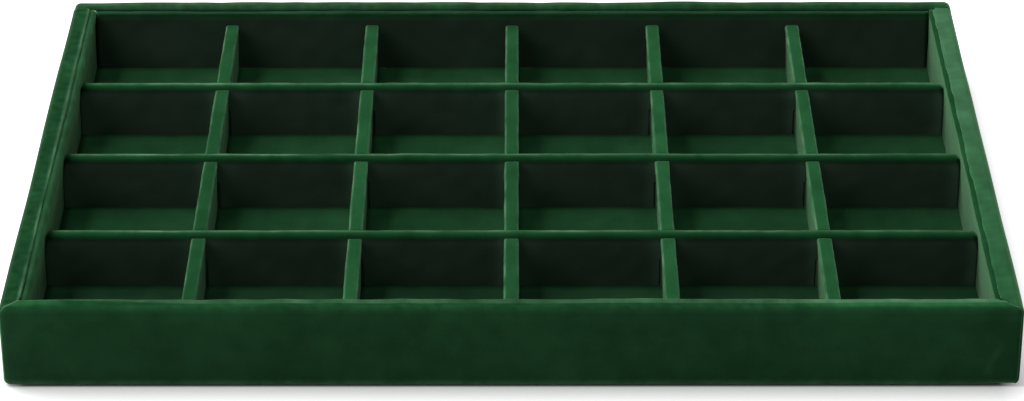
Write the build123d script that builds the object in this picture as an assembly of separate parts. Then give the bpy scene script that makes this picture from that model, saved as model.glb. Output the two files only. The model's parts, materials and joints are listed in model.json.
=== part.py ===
from build123d import *

import os
from math import sqrt

# A display tray for rings and small jewelry, covered in velvet, with a grid of dividers that lifts out.
# A frame of fibreboard stands round a thin base, and four strips of velvet wrap it. Inside lie a floor
# pad and four wall liners, all velvet over card. The grid is an egg crate: column dividers run front to
# back with slots that open upwards, and row dividers drop into them from above.
# X runs along the tray's width, Y from its front to its back and Z up. The origin is the middle of the
# underside. Sizes are in millimetres.

# Overall size, over the velvet
tray_width = 350.0
tray_depth = 240.0
tray_height = 31.0

# Thickness of the sheet materials
velvet = 0.9
wall_board = 5.0
base_thickness = 2.0
felt = 0.6
pad_card = 0.6
liner_card = 0.6
divider_board = 3.2

# Radii, over the velvet
corner_radius = 3.0
rim_outer_radius = 2.6
rim_inner_radius = 1.3
foot_radius = 1.5
liner_radius = 1.0
divider_radius = 1.1
mouth_radius = 1.1

# Frame
rebate = 2.0
turn_in = 12.0
felt_inset = 5.0

# Floor pad and wall liners
pad_clearance = 0.3
liner_clearance = 0.3
liner_flap = 12.0
side_liner_drop = 0.6
back_liner_drop = 1.1
front_liner_drop = 1.6

# Grid of dividers. Compartments beside the left and right walls are wider than the rest by one gain, and
# those beside the front and back walls are deeper by the other, or shallower where it is below zero.
columns = 6
rows = 4
outer_width_gain = 1.3
outer_depth_gain = -1.1
divider_height = 20.4
column_drop = 0.4
lap_share = 0.5
lap_clearance = 0.3
slot_clearance = 0.2
end_clearance = 0.3

# Brads, of flat wire with T heads set below the board's face
brad_wide = 1.2
brad_thick = 1.0
brad_length = 16.0
brad_point = 1.5
brad_head_wide = 2.0
brad_head_deep = 0.8
brad_sink = 0.4
corner_brad_heights = (9.0, 22.0)
base_brads_on_long_wall = 3
base_brads_on_short_wall = 2
base_brad_margin = 35.0

# Levels above the table
board_foot = felt + velvet
base_top = board_foot + base_thickness
pad_card_top = base_top + pad_card
floor_level = pad_card_top + velvet
board_top = tray_height - velvet
lap_height = lap_share * divider_height

# Widths worked out from the sheets
half_width = tray_width / 2
half_depth = tray_depth / 2
rim = wall_board + 2 * velvet
lip = wall_board - rebate
liner_foot = liner_card + velvet
liner_thickness = liner_card + 2 * velvet
liner_lean = velvet / (tray_height - side_liner_drop - floor_level)
divider_thickness = divider_board + 2 * velvet
slot_width = divider_thickness + 2 * slot_clearance
inner_width = tray_width - 2 * (rim + liner_thickness)
inner_depth = tray_depth - 2 * (rim + liner_thickness)


def divider_centres(compartments, inner_length, outer_gain):
    """Centres of the dividers that part a length into compartments, alike but for the outer two."""
    dividers = compartments - 1
    cell = (inner_length - dividers * divider_thickness - 2 * outer_gain) / compartments
    pitch = cell + divider_thickness
    return [(n - compartments / 2) * pitch for n in range(1, compartments)]


column_centres = divider_centres(columns, inner_width, outer_width_gain)
row_centres = divider_centres(rows, inner_depth, outer_depth_gain)


def block(x, y, z):
    """A box between two values of X, two of Y and two of Z."""
    size = Box(x[1] - x[0], y[1] - y[0], z[1] - z[0])
    return Pos((x[0] + x[1]) / 2, (y[0] + y[1]) / 2, (z[0] + z[1]) / 2) * size


def plan_block(inset, low, high):
    """A box on the tray's plan, drawn in by inset on all four sides."""
    x = half_width - inset
    y = half_depth - inset
    return block((-x, x), (-y, y), (low, high))


def save(name, shape):
    """Writes a piece, or a group of like pieces, to its own file."""
    group = Compound(children=shape.solids())
    group.label = name
    export_step(group, f"parts/{name}.step")


def solid_tray(inset):
    """The tray's outside, filled in and drawn in by inset, with round upright corners."""
    low = felt + inset
    high = tray_height - inset
    plan = RectangleRounded(tray_width - 2 * inset, tray_depth - 2 * inset, corner_radius - inset)
    return Pos(0, 0, low) * extrude(plan, high - low)


def board_tub():
    """Walls and base in one: square edges, but for a chamfer along the rim that the velvet rounds over."""
    form = solid_tray(velvet)
    chamfer_leg = (rim_outer_radius - velvet) * (2 - sqrt(2))
    form = chamfer(form.faces().sort_by(Axis.Z)[-1].edges(), chamfer_leg)
    return form - plan_block(velvet + wall_board, base_top, board_top)


def velvet_tub():
    """The outside of the velvet over walls and base, with a round rim and foot."""
    form = solid_tray(0)
    form = fillet(form.faces().sort_by(Axis.Z)[-1].edges(), rim_outer_radius)
    form = fillet(form.faces().sort_by(Axis.Z)[0].edges(), foot_radius)
    form -= plan_block(rim, base_top, tray_height)
    mouth = form.faces().sort_by(Axis.Z)[-1].inner_wires()[0]
    return fillet(mouth.edges(), rim_inner_radius)


def brad():
    """One brad along Z, the top of its head at the origin and its point above."""
    shank_end = brad_length - brad_point
    head = block(
        (-brad_head_wide / 2, brad_head_wide / 2),
        (-brad_thick / 2, brad_thick / 2),
        (0, brad_head_deep),
    )
    shank = block((-brad_wide / 2, brad_wide / 2), (-brad_thick / 2, brad_thick / 2), (0, shank_end))
    outline = Polyline((-brad_wide / 2, shank_end), (brad_wide / 2, shank_end), (0, brad_length), close=True)
    point = extrude(Plane.XZ * make_face(outline), brad_thick / 2, both=True)
    return head + shank + point


def brad_hole():
    """The hole that a set brad leaves: its own shape, with its head's way in behind it."""
    way_in = block(
        (-brad_head_wide / 2, brad_head_wide / 2),
        (-brad_thick / 2, brad_thick / 2),
        (-brad_sink, 0),
    )
    return brad() + way_in


def corner_brad_places():
    """Places of the brads through the front and back boards into the ends of the side boards."""
    x = half_width - velvet - wall_board / 2
    y = half_depth - velvet - brad_sink
    for side in (-1, 1):
        for height in corner_brad_heights:
            for front in (-1, 1):
                origin = (side * x, front * y, height)
                yield Plane(origin, x_dir=(0, 0, 1), z_dir=(0, -front, 0)).location


def spread(count, half_length):
    """Even places along a wall, the outer ones a brad margin in from its ends."""
    reach = half_length - base_brad_margin
    return [reach * (2 * n / (count - 1) - 1) for n in range(count)]


def base_brad_places():
    """Places of the brads up through the base's edge into the wall boards."""
    inset = velvet + lip + rebate / 2
    height = board_foot + brad_sink
    for side in (-1, 1):
        for x in spread(base_brads_on_long_wall, half_width):
            yield Pos(x, side * (half_depth - inset), height)
        for y in spread(base_brads_on_short_wall, half_depth):
            yield Pos(side * (half_width - inset), y, height) * Rot(0, 0, 90)


def make_boards():
    """The base and the four wall boards, which are rebated for it and for each other, and their brads."""
    corner_places = list(corner_brad_places())
    base_places = list(base_brad_places())
    holes = Part() + [place * brad_hole() for place in corner_places + base_places]
    base = plan_block(velvet + lip, board_foot, base_top)
    frame = board_tub() - base
    inner_x = half_width - velvet - wall_board
    inner_y = half_depth - velvet - wall_board
    shoulder = half_depth - velvet - lip
    height = (0, tray_height)
    right = frame & block((inner_x, half_width), (-shoulder, shoulder), height)
    left = frame & block((-half_width, -inner_x), (-shoulder, shoulder), height)
    back = (frame & block((-half_width, half_width), (inner_y, half_depth), height)) - right - left
    front = (frame & block((-half_width, half_width), (-half_depth, -inner_y), height)) - right - left
    save("base_board", base - holes)
    save("front_wall_board", front - holes)
    save("back_wall_board", back - holes)
    save("left_wall_board", left - holes)
    save("right_wall_board", right - holes)
    save("corner_brads", Compound(children=[place * brad() for place in corner_places]))
    save("base_brads", Compound(children=[place * brad() for place in base_places]))


def make_wraps():
    """The four strips of velvet round the walls: turned in below, up the outside, over and down inside.

    They meet in mitres at the front corners, and the back one covers the ends of the side ones."""
    window = plan_block(turn_in, felt, board_foot)
    skin = velvet_tub() - board_tub() - window
    mitred = Polyline(
        (-half_width, -half_depth),
        (half_width, -half_depth),
        (half_width - turn_in, turn_in - half_depth),
        (turn_in - half_width, turn_in - half_depth),
        close=True,
    )
    front_zone = extrude(make_face(mitred), tray_height)
    across = (-half_width, half_width)
    back_zone = block(across, (half_depth - rim, half_depth), (0, tray_height))
    back_zone += block(across, (half_depth - turn_in, half_depth), (0, board_foot))
    left, right = (skin - front_zone - back_zone).solids().sort_by(Axis.X)
    save("front_velvet_wrap", skin & front_zone)
    save("back_velvet_wrap", skin & back_zone)
    save("left_velvet_wrap", left)
    save("right_velvet_wrap", right)


def make_underside():
    """The felt under the base, glued over the turned-in velvet and pressed flat with it."""
    lap = plan_block(felt_inset, 0, felt)
    middle = plan_block(turn_in, 0, board_foot)
    save("underside_felt", lap + middle)


def make_floor_pad():
    """The card and velvet that cover the floor, loose between the walls."""
    inset = rim + pad_clearance
    save("floor_pad_card", plan_block(inset, base_top, pad_card_top))
    save("floor_pad_velvet", plan_block(inset, pad_card_top, floor_level))


def upright_slab(outline, half_length):
    """A slab along X, whose outline is given as distances from the wall and heights above the floor."""
    return extrude(Plane.YZ * make_face(Polyline(*outline, close=True)), half_length, both=True)


def make_liner(name, half_length, end_lean, drop, place):
    """One wall liner: the velvet is folded over the card's top and down behind it, so that it leans in."""
    height = tray_height - drop - floor_level
    card_height = height - velvet
    card_lean = liner_lean * card_height
    outline = [(0, 0), (liner_card, 0), (liner_card + card_lean, card_height), (card_lean, card_height)]
    card = upright_slab(outline, half_length)
    outline = [(0, 0), (liner_foot, 0), (liner_foot + liner_lean * height, height), (0, height)]
    form = upright_slab(outline, half_length)
    form = fillet(form.faces().sort_by(Axis.Z)[-1].edges().filter_by(Axis.X), liner_radius)
    flap_foot = height - liner_flap
    hollow = upright_slab([(0, 0), (liner_lean * flap_foot, flap_foot), (0, flap_foot)], half_length)
    short_half = half_length - end_lean * height
    foot, top = (-half_length, 0), (-short_half, height)
    side = Polyline(foot, (half_length, 0), (short_half, height), top, close=True)
    span = extrude(Plane.XZ * make_face(side), liner_thickness, both=True)
    save(f"{name}_liner_card", place * (card & span))
    save(f"{name}_liner_velvet", place * ((form - card - hollow) & span))


def make_liners():
    """The four liners: the side ones run the full depth, those at the front and back fit between them."""
    x = half_width - rim
    y = half_depth - rim
    side_half = y - liner_clearance
    end_half = x - liner_foot - liner_clearance
    make_liner("front", end_half, liner_lean, front_liner_drop, Pos(0, -y, floor_level))
    make_liner("back", end_half, liner_lean, back_liner_drop, Pos(0, y, floor_level) * Rot(0, 0, 180))
    make_liner("left", side_half, 0, side_liner_drop, Pos(-x, 0, floor_level) * Rot(0, 0, -90))
    make_liner("right", side_half, 0, side_liner_drop, Pos(x, 0, floor_level) * Rot(0, 0, 90))


def bar(length, height, inset):
    """A divider along X without slots, drawn in by inset all round but at its foot."""
    half_length = length / 2 - inset
    half_thickness = divider_thickness / 2 - inset
    return block((-half_length, half_length), (-half_thickness, half_thickness), (0, height - inset))


def round_bar(length, height):
    """The outside of a divider's velvet, without slots, its top rounded over on all four sides."""
    form = bar(length, height, 0)
    return fillet(form.faces().sort_by(Axis.Z)[-1].edges(), divider_radius)


def slots(centres, width, low, high):
    """Straight slots across a divider, from low to high, one at each of the centres."""
    across = (-divider_thickness, divider_thickness)
    return [block((x - width / 2, x + width / 2), across, (low, high)) for x in centres]


def flares(centres, top):
    """The cut-outs that round off the mouths of slots from above, where the velvet turns down."""
    outline = Pos(0, top - mouth_radius / 2) * Rectangle(slot_width + 2 * mouth_radius, mouth_radius)
    for side in (-1, 1):
        outline -= Pos(side * (slot_width / 2 + mouth_radius), top - mouth_radius) * Circle(mouth_radius)
    cut = extrude(Plane.XZ * outline, divider_thickness, both=True)
    return [Pos(x, 0, 0) * cut for x in centres]


def make_column_dividers():
    """The dividers that run front to back, with slots from above for the row dividers."""
    length = inner_depth - 2 * end_clearance
    height = divider_height - column_drop
    board = bar(length, height, velvet) - slots(row_centres, slot_width + 2 * velvet, lap_height, height)
    form = round_bar(length, height) - slots(row_centres, slot_width, lap_height, height)
    sleeve = form - flares(row_centres, height) - board
    for number, x in enumerate(column_centres, start=1):
        place = Pos(x, 0, floor_level) * Rot(0, 0, 90)
        save(f"column_divider_{number}_board", place * board)
        save(f"column_divider_{number}_velvet", place * sleeve)


def make_row_dividers():
    """The dividers that run side to side, with slots from below that straddle the column dividers."""
    length = inner_width - 2 * end_clearance
    roof = lap_height + lap_clearance
    board = bar(length, divider_height, velvet) - slots(column_centres, slot_width + 2 * velvet, 0, roof)
    sleeve = round_bar(length, divider_height) - slots(column_centres, slot_width, 0, roof) - board
    for number, y in enumerate(row_centres, start=1):
        place = Pos(0, y, floor_level)
        save(f"row_divider_{number}_board", place * board)
        save(f"row_divider_{number}_velvet", place * sleeve)


os.makedirs("parts", exist_ok=True)
make_boards()
make_wraps()
make_underside()
make_floor_pad()
make_liners()
make_column_dividers()
make_row_dividers()
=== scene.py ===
import json
from math import ceil, cos, pi, radians, sin

import bmesh
import bpy
import numpy as np
from mathutils import Matrix, Vector


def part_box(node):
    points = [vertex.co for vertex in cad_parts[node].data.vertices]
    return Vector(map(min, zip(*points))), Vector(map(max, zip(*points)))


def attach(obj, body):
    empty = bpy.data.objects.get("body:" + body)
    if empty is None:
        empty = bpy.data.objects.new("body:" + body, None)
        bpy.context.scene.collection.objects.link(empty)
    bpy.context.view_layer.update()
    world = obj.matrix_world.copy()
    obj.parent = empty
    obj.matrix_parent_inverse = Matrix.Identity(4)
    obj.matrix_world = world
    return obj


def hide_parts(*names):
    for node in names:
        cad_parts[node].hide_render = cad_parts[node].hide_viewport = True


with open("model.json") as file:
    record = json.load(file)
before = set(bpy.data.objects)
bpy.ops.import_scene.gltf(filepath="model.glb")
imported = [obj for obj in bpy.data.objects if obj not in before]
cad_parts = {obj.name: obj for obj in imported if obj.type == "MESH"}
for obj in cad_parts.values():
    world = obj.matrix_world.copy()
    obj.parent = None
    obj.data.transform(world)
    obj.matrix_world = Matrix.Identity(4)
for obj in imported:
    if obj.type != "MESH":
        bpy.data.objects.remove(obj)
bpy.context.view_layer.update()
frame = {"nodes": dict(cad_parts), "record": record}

# Lengths below are in millimetres, in the frame's own axes, and go to metres when a mesh is made.
MM = 0.001

# Sizes of the CAD model's velvet and felt
VELVET = 0.9
FELT = 0.6
CORNER_RADIUS = 3.0
RIM_OUTER_RADIUS = 2.6
RIM_INNER_RADIUS = 1.3
FOOT_RADIUS = 1.5
RIM_WIDTH = 6.8
TURN_IN = 12.0
BASE_TOP = 3.5
LINER_FLAP = 12.0

# The slots in the dividers' sleeves. The floor of a column's slots is 0.15 mm over the CAD model's, so that
# velvet covers the board there, and the top of a row's is the CAD model's. OPEN is past any divider's end.
SLOT_WIDTH = 5.4
SLOT_EDGE_RADIUS = 0.5
SLOT_LOW = 15.35
SLOT_HIGH = 15.5
OPEN = 99

# The gap between a row's ends and the side liners' faces
ROW_END_GAP = 0.1

# How far a sleeve goes on below its divider's foot, into the floor pad's pile
SUNK = 0.3

# Faces that the painted light and shade beside them is measured from: a divider's, from its own middle, and
# two liners', from the tray's middle
DIVIDER_FACE = 2.6
SIDE_LINER_FACE = 165.6
BACK_LINER_FACE = 111.7

# How much a cloth's tone varies at random, and that of the strip round the right wall
MOTTLE = 0.035
RIGHT_MOTTLE = 0.07

# Where the front and the back row of compartments begin, from the middle
OUTER_ROWS = (57, 62)

# A distance at which nothing near a mark shows
FAR = 999

# Spacing of the mesh
FINE = 0.3
COARSE = 1.5
ARC_STEPS = 7

SIDES = ("front", "back", "left", "right")


def corners(node):
    """A CAD node's lowest and highest corners, in millimetres."""
    low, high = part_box(node)
    return np.array(low) / MM, np.array(high) / MM


def steps(low, high, most=COARSE):
    """Even values from low to high, both among them, no further apart than most."""
    return np.linspace(low, high, max(2, ceil(abs(high - low) / most) + 1))


def lines(*marks):
    """Even values between each mark and the next, with every mark among them."""
    parts = [steps(a, b)[:-1] for a, b in zip(marks, marks[1:])]
    return np.concatenate([*parts, marks[-1:]])


def arc(centre, radius, start, end, count=ARC_STEPS):
    """Points on an arc in a plane, from one angle in degrees to another."""
    angles = np.radians(np.linspace(start, end, count + 1))
    return np.array(centre) + radius * np.stack([np.cos(angles), np.sin(angles)], -1)


def unevenness(points, wavelength, seed, waves=18):
    """A smooth random value at each point, mostly from -1 to 1, that varies over about a wavelength."""
    rng = np.random.default_rng(seed)
    headings = rng.normal(size=(waves, 3))
    headings /= np.linalg.norm(headings, axis=1)[:, None]
    numbers = 2 * pi / wavelength * rng.uniform(0.6, 1.4, waves)
    phases = rng.uniform(0, 2 * pi, waves)
    total = np.zeros(len(points))
    for heading, number, phase in zip(headings, numbers, phases):
        total += np.sin(points @ heading * number + phase)
    return total * (2 / waves) ** 0.5


def near(value, place, width):
    """A bump of height 1 at a place, which dies away over a width."""
    return np.exp(-((value - place) / width) ** 2)


def ramp(value, start, end):
    """0 at start and 1 at end, smooth between them and level outside."""
    t = np.clip((value - start) / (end - start), 0, 1)
    return t * t * (3 - 2 * t)


def past(value, marks):
    """How far each value lies past the last mark before it."""
    gaps = value[:, None] - np.array(marks)[None]
    return np.where(gaps < 0, FAR, gaps).min(axis=1)


def divider_places(kind, axis):
    """Where the dividers of a kind stand, along an axis."""
    nodes = [n for n in frame["nodes"] if n.startswith(kind + "_divider_") and n.endswith("_velvet")]
    return sorted(sum(corners(node)[k][axis] for k in (0, 1)) / 2 for node in nodes)


def past_faces(values, middles, first):
    """How far each value lies past the last face before it, of a divider or of the liner at first."""
    return past(values, [middle + DIVIDER_FACE for middle in middles] + [first])


class Patches:
    """Grids of points that together make one surface."""

    # Points closer than this, in metres, are one
    JOINED = 0.004 * MM

    def __init__(self):
        self.points, self.faces, self.count = [], [], 0

    def add(self, grid, keep=None):
        """A grid of points, rows by columns by 3, with the quads that keep allows."""
        rows, columns = grid.shape[:2]
        index = np.arange(rows * columns).reshape(rows, columns) + self.count
        quads = np.stack([index[:-1, :-1], index[:-1, 1:], index[1:, 1:], index[1:, :-1]], -1)
        quads = quads.reshape(-1, 4) if keep is None else quads[keep]
        self.points.append(grid.reshape(-1, 3))
        self.faces.extend(quads.tolist())
        self.count += rows * columns

    def mesh(self, name):
        """One mesh of all the grids, joined where they meet, with its normals outwards."""
        data = bpy.data.meshes.new(name)
        data.from_pydata((np.concatenate(self.points) * MM).tolist(), [], self.faces)
        form = bmesh.new()
        form.from_mesh(data)
        bmesh.ops.remove_doubles(form, verts=form.verts, dist=self.JOINED)
        bmesh.ops.dissolve_degenerate(form, edges=form.edges, dist=self.JOINED)
        loose = [v for v in form.verts if not v.link_faces]
        bmesh.ops.delete(form, geom=loose, context="VERTS")
        bmesh.ops.recalc_face_normals(form, faces=form.faces)
        form.to_mesh(data)
        form.free()
        return data


def read(data, name):
    """Three numbers for each of a mesh's vertices, as an array."""
    values = np.zeros(len(data.vertices) * 3, np.float32)
    data.vertices.foreach_get(name, values)
    return values.reshape(-1, 3).astype(float)


def places(data):
    """A mesh's vertices, in millimetres."""
    return read(data, "co") / MM


def directions(data):
    """The outward direction at each of a mesh's vertices."""
    return read(data, "normal")


def move(data, points):
    """Puts a mesh's vertices at points in millimetres."""
    data.vertices.foreach_set("co", (points * MM).astype(np.float32).ravel())
    data.update()


def note(data, name, values):
    """Keeps a number for each vertex, which the material reads."""
    layer = data.attributes.new(name, "FLOAT", "POINT")
    layer.data.foreach_set("value", np.asarray(values, np.float32))


class PileAndPaintedLight:
    """How a piece's pile varies, and the light and shade painted into it, as a few numbers for each vertex,
    which the material reads.

    tone scales its colour, at random and as painted light and shade, grey mixes in a grey haze, mostly
    painted on faces in shade, and worn makes it pale where it is worn and where highlights are painted."""

    def __init__(self, count):
        self.tone = np.ones(count)
        self.grey = np.zeros(count)
        self.worn_and_highlight = np.zeros(count)


def cloth(
    name, data, body, node,
    pile_and_light=None, slot="velvet", thickness=VELVET, share=None, mottle=MOTTLE,
):
    """A stretched sheet of cloth in place of a CAD node: its outer face is data, and its back lies inside.

    share, from 0 to 1 for each vertex, thins it, and mottle is how much its tone varies."""
    pile_and_light = pile_and_light or PileAndPaintedLight(len(data.vertices))
    close, wide = unevenness(places(data), 11, 70 + len(name)), unevenness(places(data), 34, 71)
    pile_and_light.tone *= 1 + mottle * close + 0.03 * wide
    note(data, "tone", pile_and_light.tone)
    note(data, "grey", np.clip(pile_and_light.grey, 0, 1))
    note(data, "worn_and_highlight", np.clip(pile_and_light.worn_and_highlight, 0, 1))
    piece = bpy.data.objects.new(name, data)
    bpy.context.scene.collection.objects.link(piece)
    for face in data.polygons:
        face.use_smooth = True
    back = piece.modifiers.new("back", "SOLIDIFY")
    back.thickness, back.offset, back.use_even_offset = thickness * MM, -1, False
    if share is not None:
        group = piece.vertex_groups.new(name="share")
        for index, value in enumerate(share):
            group.add([index], float(value), "REPLACE")
        back.vertex_group = "share"
    data.materials.append(MATERIALS[slot])
    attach(piece, body)
    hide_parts(node)


# Materials


class Graph:
    """A node material, built from short calls."""

    def __init__(self, name):
        self.material = bpy.data.materials.new(name)
        self.material.use_nodes = True
        self.tree = self.material.node_tree
        self.tree.nodes.clear()

    def node(self, kind, out=0, settings=(), **inputs):
        """Adds a node, sets or links its inputs by name, and returns one of its outputs."""
        made = self.tree.nodes.new("ShaderNode" + kind)
        for key, value in dict(settings).items():
            setattr(made, key, value)
        for key, value in inputs.items():
            socket = made.inputs[int(key[1:]) if key[0] == "_" else key.replace("_", " ")]
            if isinstance(value, bpy.types.NodeSocket):
                self.tree.links.new(value, socket)
            else:
                socket.default_value = value
        return made.outputs[out]

    def math(self, operation, a, b=0.0, clamp=False):
        """One step of arithmetic."""
        return self.node("Math", settings={"operation": operation, "use_clamp": clamp}, _0=a, _1=b)

    def noise(self, scale, detail, roughness, stretch=None):
        """Noise of a scale in cells per metre, over the object's own coordinates."""
        vector = self.node("TexCoord", out=3)
        if stretch:
            vector = self.node("Mapping", Vector=vector, Scale=stretch)
        return self.node("TexNoise", Vector=vector, Scale=scale, Detail=detail, Roughness=roughness)

    def spread(self, value, low, high, to_low=0.0, to_high=1.0):
        """Maps the range from low to high evenly to another."""
        return self.node("MapRange", Value=value, From_Min=low, From_Max=high, To_Min=to_low, To_Max=to_high)

    def attribute(self, name):
        """A number that note kept."""
        return self.node("Attribute", out=2, settings={"attribute_name": name})

    def mix(self, factor, a, b):
        """Mixes two colours."""
        return self.node("Mix", out=2, settings={"data_type": "RGBA"}, _0=factor, _6=a, _7=b)

    def finish(self, shader):
        """Makes the shader the material's surface, and returns the material."""
        output = self.tree.nodes.new("ShaderNodeOutputMaterial")
        self.tree.links.new(shader, output.inputs["Surface"])
        return self.material


DEEP_GREEN = (0.0080, 0.0520, 0.0165, 1)
FULL_GREEN = (0.0152, 0.0826, 0.0280, 1)
# Greens for a grey haze painted on faces in shade, and for wear and painted highlights
PAINTED_HAZE_GREY = (0.0520, 0.0860, 0.0600, 1)
WORN_AND_HIGHLIGHT_GREEN = (0.1100, 0.2500, 0.1350, 1)
SHEEN_GREEN = (0.449, 1.0, 0.519, 1)


def velvet_material():
    """Short cut pile, mottled at random, with wear and with painted light, shade, grey haze and highlights.
    """
    g = Graph("velvet")
    patches = g.noise(38, 3, 0.55)
    strokes = g.noise(150, 2, 0.6, stretch=(1.0, 0.45, 1.0))
    pile = g.noise(1500, 3, 0.7)
    lean = g.math("ADD", g.math("MULTIPLY", patches, 0.45), g.math("MULTIPLY", strokes, 0.3))
    lean = g.math("ADD", lean, g.math("MULTIPLY", pile, 0.25))
    ground = g.mix(g.spread(lean, 0.36, 0.64), DEEP_GREEN, FULL_GREEN)
    ground = g.mix(g.attribute("grey"), ground, PAINTED_HAZE_GREY)
    ground = g.node("VectorMath", settings={"operation": "SCALE"}, _0=ground, Scale=g.attribute("tone"))
    broken = g.spread(strokes, 0.3, 0.6, 0.45, 1.0)
    worn_and_highlight = g.math("MULTIPLY", g.attribute("worn_and_highlight"), broken, clamp=True)
    colour = g.mix(worn_and_highlight, ground, WORN_AND_HIGHLIGHT_GREEN)
    bumps = g.math("ADD", g.math("MULTIPLY", pile, 0.5), g.noise(420, 2, 0.6))
    normal = g.node("Bump", Strength=0.3, Distance=0.2 * MM, Height=bumps)
    shader = g.node(
        "BsdfPrincipled",
        Base_Color=colour,
        Roughness=g.spread(pile, 0.2, 0.8, 0.85, 1.0),
        Specular_IOR_Level=0.0,
        Sheen_Weight=0.773,
        Sheen_Roughness=0.3,
        Sheen_Tint=SHEEN_GREEN,
        Normal=normal,
    )
    return g.finish(shader)


def felt_material():
    """Thin pressed felt, nearly black, of short tangled fibres."""
    g = Graph("felt")
    fibres = g.noise(900, 6, 0.75)
    clumps = g.noise(90, 3, 0.6)
    mixed = g.math("ADD", g.math("MULTIPLY", fibres, 0.6), g.math("MULTIPLY", clumps, 0.4))
    colour = g.mix(g.spread(mixed, 0.35, 0.65), (0.008, 0.011, 0.009, 1), (0.030, 0.040, 0.034, 1))
    normal = g.node("Bump", Strength=0.5, Distance=0.2 * MM, Height=fibres)
    shader = g.node(
        "BsdfPrincipled",
        Base_Color=colour,
        Roughness=g.spread(fibres, 0.3, 0.7, 0.85, 1.0),
        Specular_IOR_Level=0.15,
        Sheen_Weight=0.3,
        Sheen_Roughness=0.6,
        Normal=normal,
    )
    return g.finish(shader)


def fibreboard_material():
    """Raw fibreboard: short brown and straw fibres, a little fuzzy where it is cut."""
    g = Graph("fibreboard")
    fibres = g.noise(700, 5, 0.7, stretch=(1.0, 1.0, 3.0))
    clouds = g.noise(60, 3, 0.5)
    mixed = g.math("ADD", g.math("MULTIPLY", fibres, 0.7), g.math("MULTIPLY", clouds, 0.3))
    colour = g.mix(g.spread(mixed, 0.35, 0.65), (0.30, 0.19, 0.105, 1), (0.60, 0.45, 0.30, 1))
    normal = g.node("Bump", Strength=0.3, Distance=0.1 * MM, Height=fibres)
    shader = g.node(
        "BsdfPrincipled",
        Base_Color=colour,
        Roughness=g.spread(fibres, 0.3, 0.7, 0.75, 0.95),
        Specular_IOR_Level=0.25,
        Normal=normal,
    )
    return g.finish(shader)


def card_material():
    """Raw grey card with flecks of its recycled pulp."""
    g = Graph("card")
    pulp = g.noise(1100, 4, 0.65)
    flecks = g.spread(g.noise(2600, 2, 0.5), 0.64, 0.70)
    colour = g.mix(g.spread(pulp, 0.35, 0.65), (0.44, 0.42, 0.39, 1), (0.62, 0.60, 0.56, 1))
    colour = g.mix(flecks, colour, (0.16, 0.15, 0.14, 1))
    normal = g.node("Bump", Strength=0.2, Distance=0.05 * MM, Height=pulp)
    shader = g.node(
        "BsdfPrincipled",
        Base_Color=colour,
        Roughness=g.spread(pulp, 0.3, 0.7, 0.8, 0.95),
        Specular_IOR_Level=0.25,
        Normal=normal,
    )
    return g.finish(shader)


def steel_material():
    """Bright drawn wire, with the die's fine marks along it."""
    g = Graph("brad_steel")
    marks = g.noise(1800, 3, 0.6, stretch=(1.0, 1.0, 0.15))
    colour = g.mix(g.spread(marks, 0.3, 0.7), (0.46, 0.46, 0.48, 1), (0.70, 0.70, 0.72, 1))
    normal = g.node("Bump", Strength=0.15, Distance=0.02 * MM, Height=marks)
    shader = g.node(
        "BsdfPrincipled",
        Base_Color=colour,
        Metallic=1.0,
        Roughness=g.spread(marks, 0.3, 0.7, 0.28, 0.48),
        Normal=normal,
    )
    return g.finish(shader)


MATERIALS = {
    "velvet": velvet_material(),
    "felt": felt_material(),
    "fibreboard": fibreboard_material(),
    "card": card_material(),
    "brad_steel": steel_material(),
}
for part in frame["record"]["subparts"]:
    for holder in frame["nodes"][part["node"]].material_slots:
        holder.material = MATERIALS[part["material_slot"]]


# The strips of velvet round the walls


# For each wall, in mm: how far its pile stands over the wall's inner edge, how far down, and that edge's
# radius
RIMS = {
    "front": (1.1, 1.6, 0.6),
    "back": (0.0, 1.1, RIM_INNER_RADIUS),
    "left": (0.4, 0.6, 0.6),
    "right": (0.9, 0.6, 0.6),
}


def wrap_profile(top, fold, inner):
    """The strip's outer face across its width, as distances in from the tray's side and heights."""
    foot, outer = FOOT_RADIUS, RIM_OUTER_RADIUS
    under = [(d, FELT) for d in steps(TURN_IN, foot)[:-1]]
    side = [(0, z) for z in steps(FELT + foot, top - outer)[1:-1]]
    flat = [(d, top) for d in steps(outer, RIM_WIDTH - inner, 0.5)[1:-1]]
    flap = [(RIM_WIDTH, z) for z in steps(top - max(inner, fold) - FINE, BASE_TOP, 2)]
    if fold > inner + 0.2:
        flap.insert(0, (RIM_WIDTH, top - fold))
    return np.concatenate([
        under,
        arc((foot, FELT + foot), foot, 270, 180),
        side,
        arc((outer, top - outer), outer, 180, 90),
        flat,
        arc((RIM_WIDTH - inner, top - inner), inner, 90, 0),
        flap,
    ])


def half_path(d, half_length, end):
    """Lengths of the three runs from the strip's middle to its end, at an inset d: straight, corner, tail."""
    inside = np.maximum(d - CORNER_RADIUS, 0)
    turn = np.maximum(CORNER_RADIUS - d, 0)
    straight = half_length - CORNER_RADIUS - inside
    if end == "mitred":
        return straight, turn * pi / 4, 0 * d
    if end == "round":
        return straight, turn * pi / 2, np.maximum(RIM_WIDTH - CORNER_RADIUS - inside, 0)
    return half_length - np.maximum(d, RIM_WIDTH), 0 * d, 0 * d


def path_points(along, d, half_length, half_across, end):
    """Places in plan, at fractions along one half of the strip and insets d. The wall's outside is at -Y."""
    straight, corner, tail = half_path(d, half_length, end)
    t = along * (straight + corner + tail)
    radius = np.maximum(CORNER_RADIUS - d, 1e-9)
    angle = np.clip((t - straight) / radius, 0, corner / radius)
    beyond = np.maximum(t - straight - corner, 0)
    x = np.minimum(t, straight) + radius * np.sin(angle)
    y = -half_across + d + radius * (1 - np.cos(angle)) + beyond
    return x, y


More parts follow.
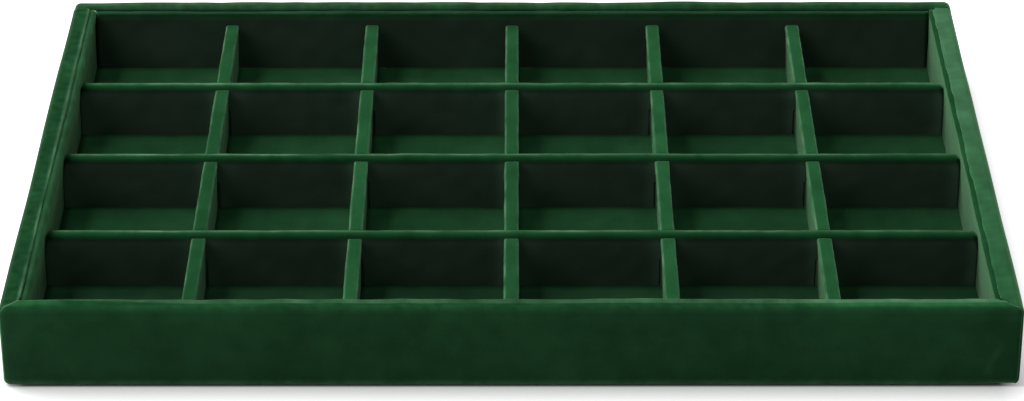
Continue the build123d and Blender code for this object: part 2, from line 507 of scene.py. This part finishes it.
# The crease in the front strip's pile: a place on it, and its direction's upright and level shares
CREASE_X, CREASE_Z = 168, 18
CREASE_UPRIGHT, CREASE_LEVEL = 0.93, 0.37


def crease(x, z):
    """Where the front strip's pile is creased, near its right end."""
    across = (x - CREASE_X) * CREASE_UPRIGHT - (z - CREASE_Z) * CREASE_LEVEL
    along = -(x - CREASE_X) * CREASE_LEVEL - (z - CREASE_Z) * CREASE_UPRIGHT
    return near(across, 0, 1.0) * ramp(along, -2, 3) * ramp(-along, -16, -11)


def wrap_pile_and_light(side, x, d, z, top, seam):
    """A strip's pile and painted light, from places along it, insets from its outside, heights and distances
    to seams.
    """
    pile_and_light = PileAndPaintedLight(len(x))
    where = np.stack([x, d, z], -1)
    on_top = ramp(z, top - 3.2, top - 0.8) * ramp(d, 0.2, 2.2)
    uneven = unevenness(where, 18, 31 + len(side))
    broken = 0.75 + 0.25 * uneven
    pile_and_light.grey += 0.12 * (1 - on_top)
    pile_and_light.tone += 0.10 * on_top * unevenness(where, 5, 36 + len(side))
    if side == "front":
        # The rim is lighter toward both ends. Below the top the strip is a little darker, with a band of
        # painted light just under the rim's outer edge, and the outer face is greyer toward its foot
        right, left = ramp(x, 88, 125), 0.6 * ramp(-x, 148, 162)
        pile_and_light.tone += on_top * (1.2 * ramp(d, 1.2, 4.6) * np.maximum(right, left) - 0.05)
        pile_and_light.tone += 0.12 * near(z, top - 3.0, 1.5) - 0.08 * (1 - on_top)
        pile_and_light.grey += 0.06 * (1 - on_top) * (1 - z / top)
        # The right mitre is dark. A pale band along the rim's inner half, the crease and the left mitre are
        # painted highlights, partly wear, and a pale line along the foot is painted light thrown up from the
        # table
        pile_and_light.tone -= near(seam, 0, 0.5) * on_top * (x > 0) * 0.5
        band = 4.3 + 1.4 * ramp(-x, 100, 150) + 0.6 * right
        pile_and_light.worn_and_highlight = ramp(d - band, 0, 0.8) * on_top * (0.48 * broken + 0.55 * right)
        pile_and_light.worn_and_highlight += near(z, 1.5, 0.8) * (d < 1.5) * 0.5 + 0.10 * crease(x, z) * (d < 1)
        pile_and_light.worn_and_highlight += near(seam, 0, 0.45) * on_top * (x < 0) * 0.9
    elif side == "right":
        # The rim is lighter and greyer, the more so toward the back, and its outer edge is paler
        back = ramp(x, -95, 60)
        pile_and_light.tone += on_top * (0.90 + 0.53 * back + 0.12 * uneven)
        pile_and_light.grey += on_top * (0.12 + 0.2 * back)
        pile_and_light.tone -= 0.6 * near(seam, 0, 0.7) * on_top * (x < 0)
        pile_and_light.worn_and_highlight = near(d, 0.9, 0.7) * ramp(z, top - 3, top - 1) * 0.4
    elif side == "left":
        # The outer edge is painted darker and greyer against the lamps' sheen on it, and a painted highlight,
        # partly wear, runs along the inner edge and the mitre
        shoulder = near(d, 0.3, 0.9) * ramp(z, top - 3, top - 1.5)
        pile_and_light.tone -= on_top * 0.18 + shoulder * 0.35
        pile_and_light.grey += shoulder * 0.5
        pile_and_light.worn_and_highlight = near(d, 6.3, 0.42) * on_top * 0.7 * broken
        pile_and_light.worn_and_highlight += near(seam, 0, 0.45) * on_top * (x > 0) * 0.6
    else:
        # A pale band runs along the rim's outer half, and the inner edge is light
        pile_and_light.tone -= 0.12 * on_top * ramp(d, 3.2, 6.0)
        pile_and_light.tone += 0.4 * on_top * ramp(-x, 165, 170)
        pile_and_light.tone += 0.6 * near(z, top - 1.4, 1.2) * (d > 6)
        pile_and_light.grey += 0.1
        pile_and_light.grey += 0.15 * on_top * ramp(x, -60, 150)
        pile_and_light.worn_and_highlight = ramp(-d, -5.2, -3.4) * on_top * 0.29 * broken
    return pile_and_light


def seam_distances(x, inset, half_length, ends):
    """How far each place on a strip lies from the seam at its end of the strip."""
    seam = np.full(len(x), float(FAR))
    for sign, end in zip((-1, 1), ends):
        if end == "mitred":
            seam = np.where(x * sign > 0, np.abs(half_length - np.abs(x) - inset) / 2 ** 0.5, seam)
        elif end == "butt":
            seam = np.where(x * sign > 0, np.abs(half_length - RIM_WIDTH - np.abs(x)), seam)
    return seam


def wrap(side, half_length, half_across, top, ends, turn):
    """One strip of velvet, made with its outside at -Y and then turned about Z, as its mesh and its pile."""
    lip, fold, inner = RIMS[side]
    profile = wrap_profile(top, fold, inner)
    d, z = profile[:, 0], profile[:, 1]

    # The mesh is fine at the corners, where the longest path is a little longer than half the strip
    reach = half_length + 6
    gaps = np.concatenate([[0], np.linspace(0.2, 0.5, 30), np.linspace(0.55, COARSE, 12)])
    close = np.cumsum(gaps)
    fractions = 1 - np.concatenate([close, lines(close[-1], reach)[1:]]) / reach
    halves = []
    for end in ends:
        x, y = path_points(fractions[:, None], d[None, :], half_length, half_across, end)
        halves.append(np.stack([x, y, np.broadcast_to(z, x.shape)], -1))
    halves[0][..., 0] *= -1
    patches = Patches()
    patches.add(np.concatenate([halves[0], halves[1][::-1][1:]]))
    data = patches.mesh(f"{side}_velvet_wrap_cloth")
    points, normals = places(data), directions(data)
    x, y, z = points.T
    inset = y + half_across
    seam = seam_distances(x, inset, half_length, ends)
    pile_and_light = wrap_pile_and_light(side, x, inset, z, top, seam)

    # The pile's relief: waves all over, and a ridge or a dent along each seam
    seed = len(side) * 7
    fine = 0.05 * unevenness(points, 14, seed + 1)
    if side == "right":
        fine += 0.03 * unevenness(points, 7, 77)
    if side in ("left", "right"):
        fine *= ramp(inset, 0.8, 2.6)
    rise = 0.10 * unevenness(points, 55, seed) + fine
    lift = np.zeros(len(points))
    if side == "back":
        rise += 0.15 * ramp(z, top - 2, top - 0.5)
    elif side == "front":
        rise += 0.22 * crease(x, z) * (inset < 1)
        lift = 0.5 * ramp(x, 156, 171) * near(inset, 0.4, 1.3) * near(z, 1.0, 1.4)
    ridge = (side == "front") & (x < 0) | (side == "left") & (x > 0)
    faint = (side == "right") & (x > 0)
    rise += near(seam, 0, 0.5) * np.where(ridge, 0.08, np.where(faint, -0.05, -0.14))
    visible = np.where((z < top - 2) & (inset > 5), 0, 1) * np.clip((z - 1) / 3, 0, 1)
    points = points + normals * (rise * visible)[:, None]

    # The lip over the wall's inner edge, which comes to nothing at the strip's ends
    loose = 0.10 * unevenness(points, 30, seed + 2) + 0.07 * unevenness(points, 9, seed + 3)
    if side == "right":
        loose *= 2
    fade = np.where((side == "front") & (x < 0), 45, 9)
    loose = lip * (1 + loose) * ramp(half_length - np.abs(x), 7.5, fade)
    points[:, 1] += loose * ramp(inset, RIM_WIDTH - 1.6, RIM_WIDTH) * (z > top - fold - 0.05) + 0.5 * lift
    points[:, 2] += lift
    move(data, points @ np.array(Matrix.Rotation(radians(turn), 3, "Z")).T)
    return data, pile_and_light


def make_wraps():
    """The four strips. The front and back ones run the tray's width, and the back one turns its corners."""
    half_width, half_depth, top = corners("back_velvet_wrap")[1]
    strips = {
        "front": (half_width, half_depth, ("mitred", "mitred"), 0),
        "back": (half_width, half_depth, ("round", "round"), 180),
        "left": (half_depth, half_width, ("butt", "mitred"), -90),
        "right": (half_depth, half_width, ("mitred", "butt"), 90),
    }
    for side, (half_length, half_across, ends, turn) in strips.items():
        data, pile_and_light = wrap(side, half_length, half_across, top, ends, turn)
        cloth(
            f"{side}_velvet_wrap_cloth", data, "tray", f"{side}_velvet_wrap",
            pile_and_light=pile_and_light, mottle=RIGHT_MOTTLE if side == "right" else MOTTLE,
        )


# Liners, floor pad and the felt underneath


# For each liner, in mm from the wall: its face at the foot, its back and its face at the top, the radii of
# the top's back and front edges, and the turn in degrees
LINERS = {
    "front": (1.5, 0.0, 2.4, 1.0, 1.0, 180),
    "back": (1.5, 0.0, 2.4, 1.0, 1.0, 0),
    "left": (1.4, 0.1, 2.9, 0.5, 1.7, 90),
    "right": (1.7, 0.0, 2.4, 0.8, 0.8, -90),
}


def liner_face(side, share):
    """How far a liner's face stands off its wall, at a share of its height: more and more toward its top."""
    foot_face, top_face = LINERS[side][0], LINERS[side][2]
    return foot_face + (top_face - foot_face) * share ** 3


# The front and back liners' ends draw in by this much over this height, to clear the side liners
END_LEAN, LEAN_HEIGHT = 0.9, 25.4

# How far a liner goes on below its foot, and how near its ends its mesh has a line
LINER_SUNK = 0.4
LINER_END = 3


def liner_pile_and_light(side, points, height, top_face):
    """A liner's pile and painted light and shade, from places with its wall at Y = 0. The left one's front is
    at -X.
    """
    x, y, z = points.T
    pile_and_light = PileAndPaintedLight(len(points))
    on_top = ramp(z, height - 1.6, height - 0.4)
    below, down = 1 - on_top, 1 - z / height
    over_edge = near(-y, top_face - 0.45, 0.4) * ramp(z, height - 1.0, height - 0.3)
    broken = 0.75 + 0.25 * unevenness(points, 15, 21 + len(side))
    if side == "left":
        # The left liner's face, turned from the lamps, gets painted light, more toward its top and its front,
        # and goes darker and greyer toward its foot; a painted highlight, partly wear, runs along its top
        light = (1.6 + 1.3 * ramp(-x, -60, 95)) * ramp(-down, -0.65, -0.15)
        pile_and_light.tone += below * (light - 0.4 * down) - 0.08 * on_top
        pile_and_light.grey = below * np.clip(1.8 * (down - 0.2), 0, 1)
        pile_and_light.worn_and_highlight = near(-y, 1.4, 0.8) * ramp(z, height - 1.2, height - 0.3) * 0.22 * broken
    elif side == "right":
        # The right liner's face is painted lighter toward its top and darker and greyer toward its foot
        pile_and_light.tone += below * np.maximum(1.02 - 1.7 * down, -0.4)
        pile_and_light.grey = below * np.clip(0.2 + 1.1 * down, 0, 0.95)
        # Painted shade darkens its face where each row divider meets it
        for place in divider_places("row", 1):
            pile_and_light.tone *= 1 - 0.75 * near(-x, place, 4) * ramp(-z, -20, -17)
    elif side == "back":
        pile_and_light.tone += 1.4 * below * ramp(z, height - 3.8, height - 1) - 0.2 * on_top
        pile_and_light.grey = below * ramp(-z, 1 - height, 4 - height) + 0.15 * on_top
        pile_and_light.worn_and_highlight = over_edge * 0.15 * broken
    return pile_and_light


def make_liner(side):
    """A liner's velvet, up its card and folded down behind it, made facing -Y with its wall at Y = 0."""
    node = f"{side}_liner_velvet"
    low, high = corners(node)
    size = high - low
    half, height = max(size[:2]) / 2, size[2]
    top_back, top_face, back_radius, face_radius, turn = LINERS[side][1:]

    def behind(z):
        return top_back * ramp(z, height - 1.4 * LINER_FLAP, height)

    heights = lines(-LINER_SUNK, 0, height - face_radius)[:-1]
    up = [(liner_face(side, z / height), z) for z in heights]
    down = [(behind(z), z) for z in steps(height - back_radius, height - LINER_FLAP)[1:]]
    profile = np.concatenate([
        up,
        arc((top_face - face_radius, height - face_radius), face_radius, 0, 90),
        arc((top_back + back_radius, height - back_radius), back_radius, 90, 180),
        down,
    ])
    x = lines(-half, -half + LINER_END, half - LINER_END, half)
    grid = np.zeros((len(x), len(profile), 3))
    grid[..., 0] = x[:, None]
    if side in ("front", "back"):
        lean = np.minimum(profile[:, 1] * END_LEAN / LEAN_HEIGHT, END_LEAN)
        grid[..., 0] *= 1 - lean[None, :] / half
    grid[..., 1] = -profile[None, :, 0]
    grid[..., 2] = profile[None, :, 1]
    patches = Patches()
    patches.add(grid)
    data = patches.mesh(node + "_cloth")
    points, normals = places(data), directions(data)
    pile_and_light = liner_pile_and_light(side, points, height, top_face)

    # The flap behind thins toward its lower end
    z = points[:, 2]
    share = np.ones(len(points))
    at_back = normals[:, 1] > 0.5
    share[at_back] = np.clip((0.9 * z[at_back] / height) / VELVET, 0.3, 1)
    rise = 0.07 * unevenness(points, 30, 5 + len(side)) + 0.04 * unevenness(points, 9, 6 + len(side))
    points = points + normals * rise[:, None]
    points = points @ np.array(Matrix.Rotation(radians(turn), 3, "Z")).T
    wall = {
        "front": (0, low[1], 0),
        "back": (0, high[1], 0),
        "left": (low[0], 0, 0),
        "right": (high[0], 0, 0),
    }[side]
    move(data, points + wall + [0, 0, low[2]])
    cloth(node + "_cloth", data, "tray", node, pile_and_light=pile_and_light, share=share)


def flat_sheet(name, low, high, z, gap_x, gap_y):
    """A level grid over a box's plan, at a height. Returns its mesh and its places."""
    x, y = steps(low[0], high[0], gap_x), steps(low[1], high[1], gap_y)
    patches = Patches()
    patches.add(np.stack(np.meshgrid(x, y, [z], indexing="ij"), -1)[:, :, 0])
    data = patches.mesh(name)
    return data, places(data)


def make_floor_pad():
    """The floor pad's velvet, with painted light and shade near the columns and rows, and a little darker
    toward the front.
    """
    low, high = corners("floor_pad_velvet")
    data, points = flat_sheet("floor_pad_velvet_cloth", low, high, high[2], 2.0, 1.0)
    points[:, 2] = high[2] + 0.05 * unevenness(points, 24, 3)
    move(data, points)
    pile_and_light = PileAndPaintedLight(len(points))
    x, y = points[:, 0], points[:, 1]
    front_row, back_row = ramp(-y, *OUTER_ROWS), ramp(y, *OUTER_ROWS)
    pile_and_light.tone -= 0.17 * front_row - 0.05 * unevenness(points, 40, 17)
    from_wall = past_faces(x, divider_places("column", 0), -SIDE_LINER_FACE)
    from_row = past_faces(-y, [-place for place in divider_places("row", 1)], -BACK_LINER_FACE)
    # Painted light on the floor to the right of each column and of the left liner, where their shade falls
    pile_and_light.tone *= 1 + 1.6 * near(from_wall, 0, 11) - 0.1 * near(from_wall, 32, 12)
    # Painted shade in a thin line along the front foot of each row and of the back liner, painted light just
    # in front of it, and the floor darker further on
    pile_and_light.tone *= (1 - 0.42 * near(from_row, 0, 1.3)) * (1 + 0.22 * near(from_row, 2.9, 2.8))
    pile_and_light.tone *= 1 - 0.15 * ramp(from_row, 7, 17) + 0.08 * back_row
    pile_and_light.tone -= 0.09 * front_row
    pile_and_light.grey += 0.1 + 0.06 * front_row
    cloth(
        "floor_pad_velvet_cloth", data, "tray", "floor_pad_velvet",
        pile_and_light=pile_and_light, thickness=0.8,
    )


def make_felt():
    """The felt underneath, with its edge cut by hand and so not quite straight."""
    low, high = corners("underside_felt")
    data, points = flat_sheet("underside_felt_cloth", low, high, FELT, 3, 3)
    edge = np.maximum(np.abs(points[:, 0]) / high[0], np.abs(points[:, 1]) / high[1]) > 0.999
    points[edge, :2] *= (1 - 0.0012 * (1 + unevenness(points, 9, 12)[edge]))[:, None]
    move(data, points)
    cloth(
        "underside_felt_cloth", data, "tray", "underside_felt",
        slot="felt", thickness=FELT,
    )


# Dividers


def band(contour, half_thick, full):
    """A divider's sleeve from face to face, along a contour of (s, z, outward s, outward z, two edge radii).

    full is how far down each face it goes."""
    rows = []
    for s, z, out_s, out_z, back_radius, front_radius in contour:
        sides = []
        for sign, radius in ((1, back_radius), (-1, front_radius)):
            turn = arc((half_thick - radius, -radius), radius, 0, 90, 6)
            half = np.concatenate([[(half_thick, -full), (half_thick, -(full + radius) / 2)], turn])
            sides.append(half * [sign, 1])
        middle = [(t, 0) for t in np.linspace(half_thick - back_radius, front_radius - half_thick, 5)[1:-1]]
        across = np.concatenate([sides[0], middle, sides[1][::-1]])
        rows.append([(s + depth * out_s, t, z + depth * out_z) for t, depth in across])
    return np.array(rows)


def sleeve(half_length, height, half_thick, slots, slot_low, slot_high, radii):
    """The outside of a divider's velvet, along X with its foot at 0, from where its pile goes on below that.

    slots are the centres of its slots, which run from slot_low to slot_high: down from its top or up from its
    foot. radii are those of its top edges at the back and at the front, the larger of which also rounds its
    ends' tops and the mouths of slots in its top."""
    r, w, e = max(radii), SLOT_WIDTH / 2, SLOT_EDGE_RADIUS
    small, hair = (e, e), 1e-6
    from_top = slot_high >= height

    # The two faces: grids with a line at each slot's edges and just beside them, less the slots
    marks_s = [-half_length + r]
    for c in slots:
        if from_top:
            marks_s += [c - w - r, c - w, c - w + 0.4, c + w - 0.4, c + w, c + w + r]
        else:
            marks_s += [c - w - FINE, c - w, c + w, c + w + FINE]
    marks_s.append(half_length - r)
    marks_z = [slot_low - r, slot_low] if from_top else [slot_high, slot_high + FINE]
    s_lines, z_lines = lines(*marks_s), lines(-SUNK, 0, *marks_z, height - r)
    s_mid, z_mid = (s_lines[1:] + s_lines[:-1]) / 2, (z_lines[1:] + z_lines[:-1]) / 2
    keep = np.ones((len(s_mid), len(z_mid)), bool)
    for c in slots:
        if from_top:
            keep &= ~((np.abs(s_mid - c) < w + r)[:, None] & (z_mid > slot_low - r)[None])
        else:
            keep &= ~((np.abs(s_mid - c) < w)[:, None] & (z_mid < slot_high)[None])
    patches = Patches()
    for t in (half_thick, -half_thick):
        grid = np.stack(np.meshgrid(s_lines, [t], z_lines, indexing="ij"), -1)[:, 0]
        patches.add(grid, keep)

    def mixed(share):
        """Edge radii between the small ones and the top's."""
        return [e + (radius - e) * share for radius in radii]

    def upright(z):
        """Edge radii up an end, which grow to the top's."""
        return mixed(ramp(z, height - r - 4, height - r))

    # The contour: up the left end, along the top and down and up each slot in it, and down the right end
    contour = [(-half_length, z, -1, 0, *upright(z)) for z in z_lines]
    for x, z in arc((r - half_length, height - r), r, 180, 90)[1:-1]:
        contour.append((x, z, (x + half_length - r) / r, (z - height + r) / r, *radii))
    start = -half_length + r
    for c in slots if from_top else ():
        contour += [(s, height, 0, 1, *radii) for s in s_lines if start - hair <= s <= c - w - r + hair]
        for k, (x, z) in enumerate(arc((c - w - r, height - r), r, 90, 0)[1:], start=1):
            out = ((x - c + w + r) / r, (z - height + r) / r)
            contour.append((x, z, *out, *mixed(1 - k / ARC_STEPS)))
        wall = [z for z in z_lines if slot_low - hair <= z < height - r - hair]
        contour += [(c - w, z, 1, 0, *small) for z in wall[::-1]]
        contour.append((c - w, slot_low, 1, 1, *small))
        contour += [(s, slot_low, 0, 1, *small) for s in s_lines if c - w - hair <= s <= c + w + hair]
        contour.append((c + w, slot_low, -1, 1, *small))
        contour += [(c + w, z, -1, 0, *small) for z in wall]
        for k, (x, z) in enumerate(arc((c + w + r, height - r), r, 180, 90)[:-1]):
            out = ((x - c - w - r) / r, (z - height + r) / r)
            contour.append((x, z, *out, *mixed(k / ARC_STEPS)))
        start = c + w + r
    contour += [(s, height, 0, 1, *radii) for s in s_lines if s >= start - hair]
    for x, z in arc((half_length - r, height - r), r, 90, 0)[1:-1]:
        contour.append((x, z, (x - half_length + r) / r, (z - height + r) / r, *radii))
    contour += [(half_length, z, 1, 0, *upright(z)) for z in z_lines[::-1]]
    patches.add(band(contour, half_thick, r))

    # The upright walls of slots in its foot
    if not from_top:
        across = np.linspace(-half_thick, half_thick, 4)
        rise = [z for z in z_lines if z <= slot_high + hair]
        for c in slots:
            for s in (c - w, c + w):
                patches.add(np.stack(np.meshgrid([s], across, rise, indexing="ij"), -1)[0])
    return patches


# For each column divider, from the left: how bright its top is, and how far down its left face stays light
# before it is painted darker (0 where the photo doesn't show that face)
COLUMN_TONES = (1.1, 1.32, 1.22, 1.45, 1.42)
COLUMN_LIGHT = (0, 0, 0, 1.2, 2.5)

# For each row divider, from the front: how bright its top is, and the place and width of the pale line on it,
# a painted highlight with some wear
ROW_TONES = (1.0, 0.88, 1.0)
ROW_LINES = ((1.25, 0.6), (1.3, 0.6), (1.1, 0.8))


def column_pile_and_light(number, points, height):
    """A column divider's pile: bright on top, with a painted highlight, partly wear, along each top edge, and
    painted light and shade on its faces. Its left is at +t.
    """
    s, t, z = points.T
    pile_and_light = PileAndPaintedLight(len(s))
    on_top = ramp(z, height - 1.0, height - 0.25)
    pile_and_light.tone += on_top * (COLUMN_TONES[number] - 1)
    broken = 0.75 + 0.25 * unevenness(points, 12, 90 + number)
    # The edge highlight is stronger on the left, which faces the lamps
    edge = near(np.abs(t), 2.2, 0.36) * ramp(z, height - 1.1, height - 0.4)
    pile_and_light.worn_and_highlight = edge * np.where(t > 0, 0.80, 0.52) * broken
    # Its faces are painted greyer, a haze for faces in shade
    side = (1 - on_top) * ramp(np.abs(t), 2.0, 2.4)
    pile_and_light.grey = 0.5 * side
    # Where the left face shows, it is painted darker below a depth, against the lamps' sheen, with a painted
    # highlight above
    light = COLUMN_LIGHT[number]
    if light:
        pile_and_light.tone -= 0.88 * side * (t > 0) * ramp(height - z, light, light + 2.5)
        pale = side * (t > 0) * 0.4 * broken * ramp(z, height - light - 2, height - light)
        pile_and_light.worn_and_highlight = np.maximum(pile_and_light.worn_and_highlight, pale)
    # The right faces of the two leftmost columns, turned from the lamps, are painted darker
    if number < 2:
        pile_and_light.tone -= 0.4 * side * (t < 0)

    # In the slots the sides show as the rows' faces do
    rows = divider_places("row", 1)
    in_slot = np.max([ramp(-np.abs(s - row), -3.6, -2.75) for row in rows], axis=0) * side
    pile_and_light.tone += (0.85 - pile_and_light.tone) * in_slot
    pile_and_light.grey += (1 - pile_and_light.grey) * in_slot
    return pile_and_light


def row_pile_and_light(number, points, height):
    """A row divider's pile: a painted highlight, partly wear, along its back edge, painted shade toward the
    top's front edge, and a front face painted grey, a haze for its shade.
    """
    s, t, z = points.T
    pile_and_light = PileAndPaintedLight(len(s))
    on_top = ramp(z, height - 2.0, height - 0.6)
    slope = ramp(-t, -1.5, 1.6)
    pile_and_light.tone += on_top * (ROW_TONES[number] - 1)
    # The top is painted darker toward its front edge, and below the top it is a little darker
    pile_and_light.tone *= 1.2 - 0.5 * slope * ramp(z, height - 2.6, height - 1.2) - 0.2 * (1 - on_top)
    broken = 0.75 + 0.25 * unevenness(points, 25, 95 + number)
    strength = (0.92 - 0.42 * ramp(s, 60, 130), 0.88, 0.75 + 0.35 * ramp(-s, -20, 120))[number]
    place, width = ROW_LINES[number]
    pile_and_light.worn_and_highlight = near(t, place, width) * ramp(z, height - 0.8, height - 0.3) * strength * broken
    # The front face is painted grey, a haze for a face in shade, and a little lighter toward its top
    pile_and_light.grey = (1 - on_top) * ramp(-t, 1.6, 2.4)
    pile_and_light.tone += pile_and_light.grey * 0.08 * ramp(z, height - 6, height - 3)

    # The face gets painted light in its shade beside the column or liner at its left, and in a narrow strip
    # at its right
    columns = divider_places("column", 0)
    from_wall = past_faces(s, columns, -SIDE_LINER_FACE)
    to_wall = past_faces(-s, [-place for place in columns], -SIDE_LINER_FACE)
    beside = near(from_wall, 0, 7) * (1.2 - 0.8 * z / height) + 0.9 * near(to_wall, 0, 3)
    pile_and_light.tone *= 1 + pile_and_light.grey * beside
    return pile_and_light


def make_divider(kind, number, body, slots, slot_low, slot_high):
    """The velvet sleeve of one divider, over its board, with the slots' places along it."""
    node = f"{kind}_divider_{number + 1}_velvet"
    is_column = kind == "column"
    low, high = corners(node)
    middle, size = (low + high) / 2, high - low
    half, thick = max(size[:2]) / 2, min(size[:2]) / 2
    foot, height = low[2], size[2]
    radii = (1.0, 1.0) if is_column else (0.9, 1.7)
    form = sleeve(half, height, thick, slots, slot_low - foot, slot_high - foot, radii)
    data = form.mesh(node + "_cloth")
    points, normals = places(data), directions(data)
    s, _, z = points.T
    pile_and_light = (column_pile_and_light if is_column else row_pile_and_light)(number, points, height)
    seed = (40 if is_column else 60) + 2 * number
    rise = 0.05 * unevenness(points, 26, seed) + 0.03 * unevenness(points, 8, seed + 1)
    points = points + normals * rise[:, None]
    if is_column:
        # The faces draw in toward the foot, except in the slots, where the rows' faces meet them
        clear = [ramp(np.abs(s - place), SLOT_WIDTH / 2 - 0.4, SLOT_WIDTH / 2) for place in slots]
        draw = 0.38 * np.min(clear, axis=0) * np.clip(1 - z / (height - 1.5), 0, 1) ** 0.4
        points[:, 1] *= 1.06 - draw
        points = points @ np.array(Matrix.Rotation(radians(90), 3, "Z")).T
    else:
        # The ends reach the side liners' faces, less a gap
        for side, sign in (("left", -1), ("right", 1)):
            liner_low, liner_high = corners(f"{side}_liner_velvet")
            wall = (liner_low, liner_high)[sign > 0][0] * sign
            share = np.clip((z + foot - liner_low[2]) / (liner_high[2] - liner_low[2]), 0, 1)
            reach = wall - liner_face(side, share) - ROW_END_GAP - half
            points[:, 0] += sign * reach * ramp(sign * s, half - 2.5, half)
    move(data, points + [middle[0], middle[1], foot])
    cloth(node + "_cloth", data, body, node, pile_and_light=pile_and_light)


def make_dividers():
    """Columns with slots down from their tops, and rows with slots up from their feet."""
    column_places, row_places = divider_places("column", 0), divider_places("row", 1)
    for number in range(len(column_places)):
        make_divider("column", number, "divider_grid", row_places, SLOT_LOW, OPEN)
    for number in range(len(row_places)):
        make_divider("row", number, f"row_divider_{number + 1}", column_places, -OPEN, SLOT_HIGH)


make_wraps()
for side in SIDES:
    make_liner(side)
make_floor_pad()
make_felt()
make_dividers()


# Stage, light and camera, in metres

TABLE_HALF = 6.0
TABLE_TOP = -0.00005
GLOW = 0.9
SKY_STRENGTH = 0.18
LAMP_SIZE = 1.3
LAMP_DISTANCE = 2

# The fitted camera: the focal length in the image's pixels, pitch, roll and yaw in degrees, and its place
IMAGE_WIDTH = 1024
SENSOR_WIDTH = 36.0
FOCAL_PIXELS = 3482.28
CAMERA_ANGLES = (29.292, 0.076, -0.115)
CAMERA_PLACE = (0.00239, -1.13398, 0.64264)


def make_stage():
    """A white table that glows for the camera alone: fully beside and behind the tray, painting over its
    shadow there, and less just in front, where the glow grows away from the tray's foot and paints the
    falloff of its shadow.
    """
    g = Graph("table")
    where = g.node("TexCoord", out=3)
    x = g.node("SeparateXYZ", out=0, Vector=where)
    y = g.node("SeparateXYZ", out=1, Vector=where)
    seen = g.node("LightPath", out=0)
    plain = g.node("BsdfDiffuse", Color=(0.80, 0.80, 0.80, 1))
    contact = g.spread(y, -0.1186, -0.1197, 0.0, 0.29)
    ahead = g.math("ADD", contact, g.spread(y, -0.1205, -0.1310, 0.0, 0.36))
    beside = g.spread(g.math("ABSOLUTE", x), 0.168, 0.186)
    away = g.math("MAXIMUM", beside, g.spread(y, 0.128, 0.150))
    strength = g.math("ADD", ahead, g.math("MULTIPLY", away, g.math("SUBTRACT", GLOW, ahead)))
    glow = g.node("Emission", Color=(1, 1, 1, 1), Strength=strength)
    bright = g.node("AddShader", _0=plain, _1=glow)
    material = g.finish(g.node("MixShader", _0=seen, _1=plain, _2=bright))
    data = bpy.data.meshes.new("table")
    r, z = TABLE_HALF, TABLE_TOP
    data.from_pydata([(-r, -r, z), (r, -r, z), (r, r, z), (-r, r, z)], [], [(0, 1, 2, 3)])
    data.materials.append(material)
    table = bpy.data.objects.new("table", data)
    bpy.context.scene.collection.objects.link(table)


def make_world():
    """A dim white sky, which the camera alone sees as white."""
    world = bpy.data.worlds.new("studio")
    bpy.context.scene.world = world
    world.use_nodes = True
    tree = world.node_tree
    tree.nodes.clear()
    seen = tree.nodes.new("ShaderNodeLightPath")
    strength = tree.nodes.new("ShaderNodeMapRange")
    strength.inputs["To Min"].default_value = SKY_STRENGTH
    strength.inputs["To Max"].default_value = 1.0
    sky = tree.nodes.new("ShaderNodeBackground")
    sky.inputs["Color"].default_value = (1, 1, 1, 1)
    end = tree.nodes.new("ShaderNodeOutputWorld")
    tree.links.new(seen.outputs["Is Camera Ray"], strength.inputs["Value"])
    tree.links.new(strength.outputs["Result"], sky.inputs["Strength"])
    tree.links.new(sky.outputs["Background"], end.inputs["Surface"])


def add_lamp(name, azimuth, elevation, watts):
    """A square soft box that faces the tray, at degrees round from +X and up from the table."""
    lamp = bpy.data.lights.new(name, "AREA")
    lamp.shape, lamp.size, lamp.energy = "SQUARE", LAMP_SIZE, watts
    thing = bpy.data.objects.new(name, lamp)
    bpy.context.scene.collection.objects.link(thing)
    around, up = radians(azimuth), radians(elevation)
    thing.location = LAMP_DISTANCE * Vector((cos(around) * cos(up), sin(around) * cos(up), sin(up)))
    thing.rotation_euler = (-thing.location).to_track_quat("-Z", "Y").to_euler()


def make_camera():
    """The photograph's view, from a perspective fit to the tray's edges."""
    data = bpy.data.cameras.new("camera")
    data.sensor_width, data.sensor_fit = SENSOR_WIDTH, "HORIZONTAL"
    data.lens = SENSOR_WIDTH * FOCAL_PIXELS / IMAGE_WIDTH
    data.clip_start, data.clip_end = 0.05, 30
    camera = bpy.data.objects.new("camera", data)
    bpy.context.scene.collection.objects.link(camera)
    pitch, roll, yaw = (radians(angle) for angle in CAMERA_ANGLES)
    level = Matrix.Rotation(-yaw, 4, "Z") @ Matrix.Rotation(pi / 2 - pitch, 4, "X")
    turn = level @ Matrix.Rotation(-roll, 4, "Z")
    camera.matrix_world = Matrix.Translation(CAMERA_PLACE) @ turn
    bpy.context.scene.camera = camera


make_stage()
make_world()
add_lamp("left", 180, 50, 28.0)
add_lamp("back_left", 135, 50, 17.1)
make_camera()
bpy.context.scene.view_settings.view_transform = "Standard"
